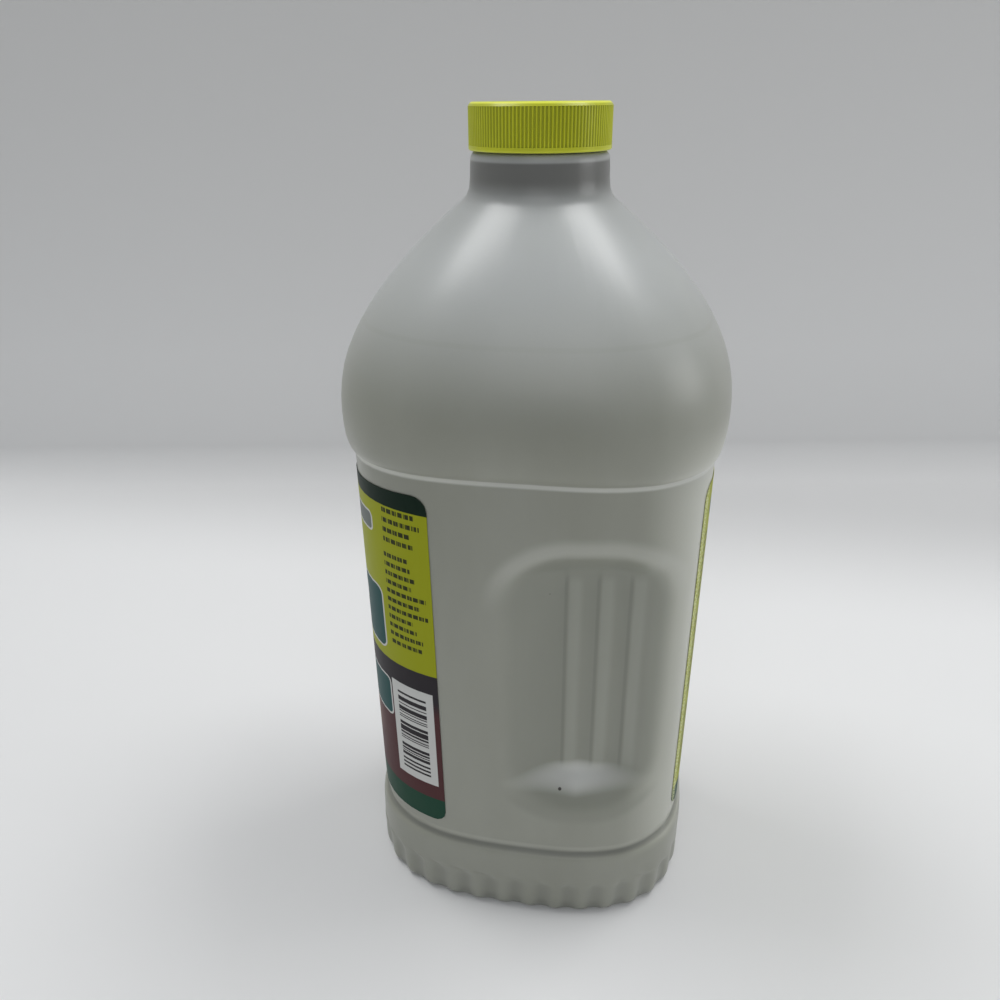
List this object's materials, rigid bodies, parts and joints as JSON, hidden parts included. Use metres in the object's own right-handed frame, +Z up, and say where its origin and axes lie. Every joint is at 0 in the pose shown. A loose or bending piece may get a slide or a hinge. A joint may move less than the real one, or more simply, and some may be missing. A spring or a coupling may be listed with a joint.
{
  "type": "floor cleaner bottle",
  "caption": "Blow-moulded oval household bottle with side grips, a domed shoulder, front and back labels, clear contents and a ribbed screw cap.",
  "frame": {"origin": "middle of the foot, on the surface that the bottle stands on", "axes": "+Z up, the front label faces -Y, the grips are on the -X and +X sides"},
  "size_m": [0.109, 0.1202, 0.2688],
  "materials": {
    "bottle": "translucent natural polyethylene, satin",
    "label_front": "glossy printed film",
    "label_back": "glossy printed film",
    "liquid": "clear watery liquid",
    "liner": "foamed polyethylene",
    "cap": "moulded polypropylene, satin"
  },
  "bodies": {
    "bottle": {"bottle": "bottle", "front_label": "label_front", "back_label": "label_back", "liquid": "liquid"},
    "liner": {"cap_liner": "liner"},
    "cap": {"cap": "cap"}
  },
  "joints": [
    {"name": "cap_lift", "type": "slide", "parent": "bottle", "child": "liner", "axis": [0, 0, 1], "range_m": [0, 0.0053]},
    {"name": "cap_turn", "type": "hinge", "parent": "liner", "child": "cap", "pos_m": [0, 0, 0.2626], "axis": [0, 0, 1], "range_deg": [0, 450]}
  ],
  "couplings": [
    {"joint": "cap_lift", "follows": "cap_turn", "m_per_rad": 0.00067375}
  ]
}
